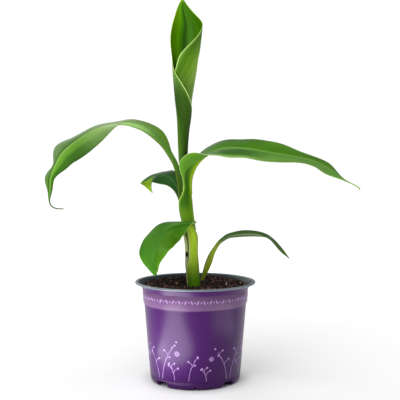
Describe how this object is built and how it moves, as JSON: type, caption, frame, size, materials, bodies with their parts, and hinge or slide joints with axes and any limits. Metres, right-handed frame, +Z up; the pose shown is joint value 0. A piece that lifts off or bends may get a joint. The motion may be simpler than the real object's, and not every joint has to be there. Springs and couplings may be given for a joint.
{
  "type": "potted banana plant",
  "caption": "Young banana plant in a round nursery pot, with a sheathed stem, arching leaves and a rolled young leaf on top.",
  "frame": {"origin": "on the pot's axis, at the level of its flat underside", "axes": "+Z up along the pot's axis, -Y towards the plant's front"},
  "size_m": [0.3052, 0.12, 0.383],
  "materials": {
    "pot_plastic": "purple printed sleeve with a pale grey lip",
    "potting_soil": "dark crumbly soil",
    "stem_green": "smooth yellow-green sheath",
    "sheath_green": "smooth bright yellow-green",
    "dry_sheath": "dry grey-brown",
    "young_leaf": "waxy mid green with a pale margin",
    "leaf_green": "waxy green with a pale midrib",
    "dark_leaf": "dull bluish green"
  },
  "bodies": {
    "root": {"pot": "pot_plastic", "soil": "potting_soil", "pseudostem": "stem_green", "outer_sheath": "sheath_green", "dry_sheath": "dry_sheath", "spear_leaf": "young_leaf", "left_leaf_inner": "leaf_green", "left_leaf_outer": "leaf_green", "right_leaf_inner": "leaf_green", "right_leaf_outer": "leaf_green", "back_leaf": "dark_leaf", "lower_leaf": "leaf_green", "sucker_leaf_inner": "leaf_green", "sucker_leaf_outer": "leaf_green"}
  },
  "joints": []
}
